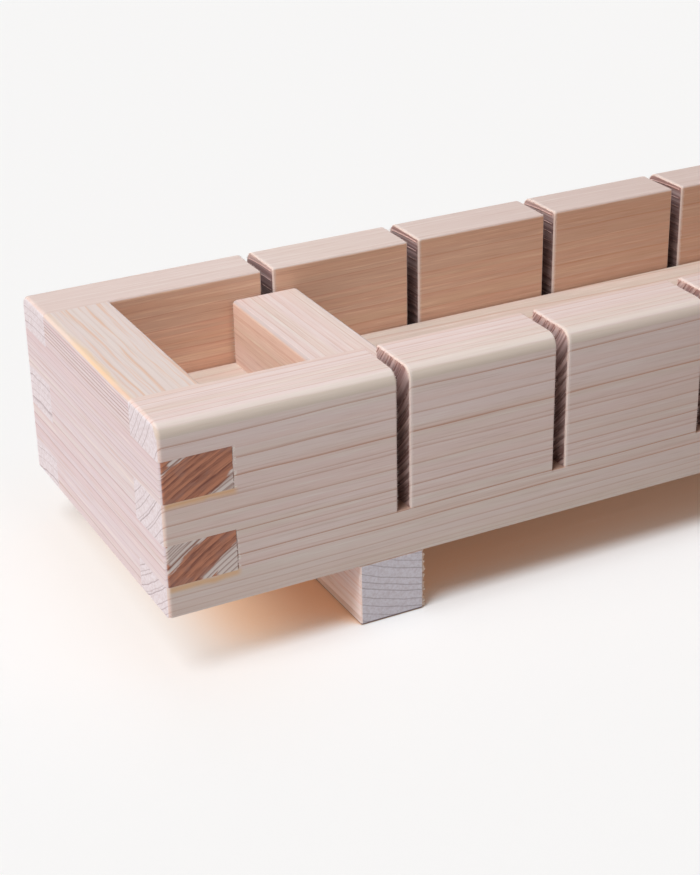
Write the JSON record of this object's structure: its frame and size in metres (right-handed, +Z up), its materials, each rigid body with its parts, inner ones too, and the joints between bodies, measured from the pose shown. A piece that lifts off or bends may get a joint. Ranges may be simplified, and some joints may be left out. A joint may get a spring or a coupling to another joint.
{
  "type": "box press for pressed sushi",
  "caption": "Long narrow open wooden box with finger-jointed corners and knife slots down both sides, on a footed base board, with a pressing lid that has cross handles.",
  "frame": {"origin": "on the table under the middle of the press", "axes": "+X along the press towards the right end, +Y across it towards the far side, +Z up, the way the lid and the frame lift off"},
  "size_m": [0.3092, 0.082, 0.059],
  "materials": {
    "frame_wood": "planed bare cypress, fine pink grain",
    "base_wood": "planed bare cypress",
    "lid_wood": "planed bare cypress, slightly warmer",
    "dowel_wood": "bare hardwood dowel rod"
  },
  "bodies": {
    "base": {"base_board": "base_wood", "left_foot": "base_wood", "right_foot": "base_wood", "left_foot_near_dowel": "dowel_wood", "left_foot_far_dowel": "dowel_wood", "right_foot_near_dowel": "dowel_wood", "right_foot_far_dowel": "dowel_wood"},
    "frame": {"near_side_board": "frame_wood", "far_side_board": "frame_wood", "left_end_board": "frame_wood", "right_end_board": "frame_wood"},
    "lid": {"lid_board": "lid_wood", "left_handle": "lid_wood", "right_handle": "lid_wood", "left_handle_near_dowel": "dowel_wood", "left_handle_far_dowel": "dowel_wood", "right_handle_near_dowel": "dowel_wood", "right_handle_far_dowel": "dowel_wood"}
  },
  "joints": [
    {"name": "frame_lift", "type": "slide", "parent": "base", "child": "frame", "axis": [0, 0, 1], "range_m": [0, 0.06]},
    {"name": "lid_lift", "type": "slide", "parent": "base", "child": "lid", "axis": [0, 0, 1], "range_m": [0, 0.1]}
  ]
}
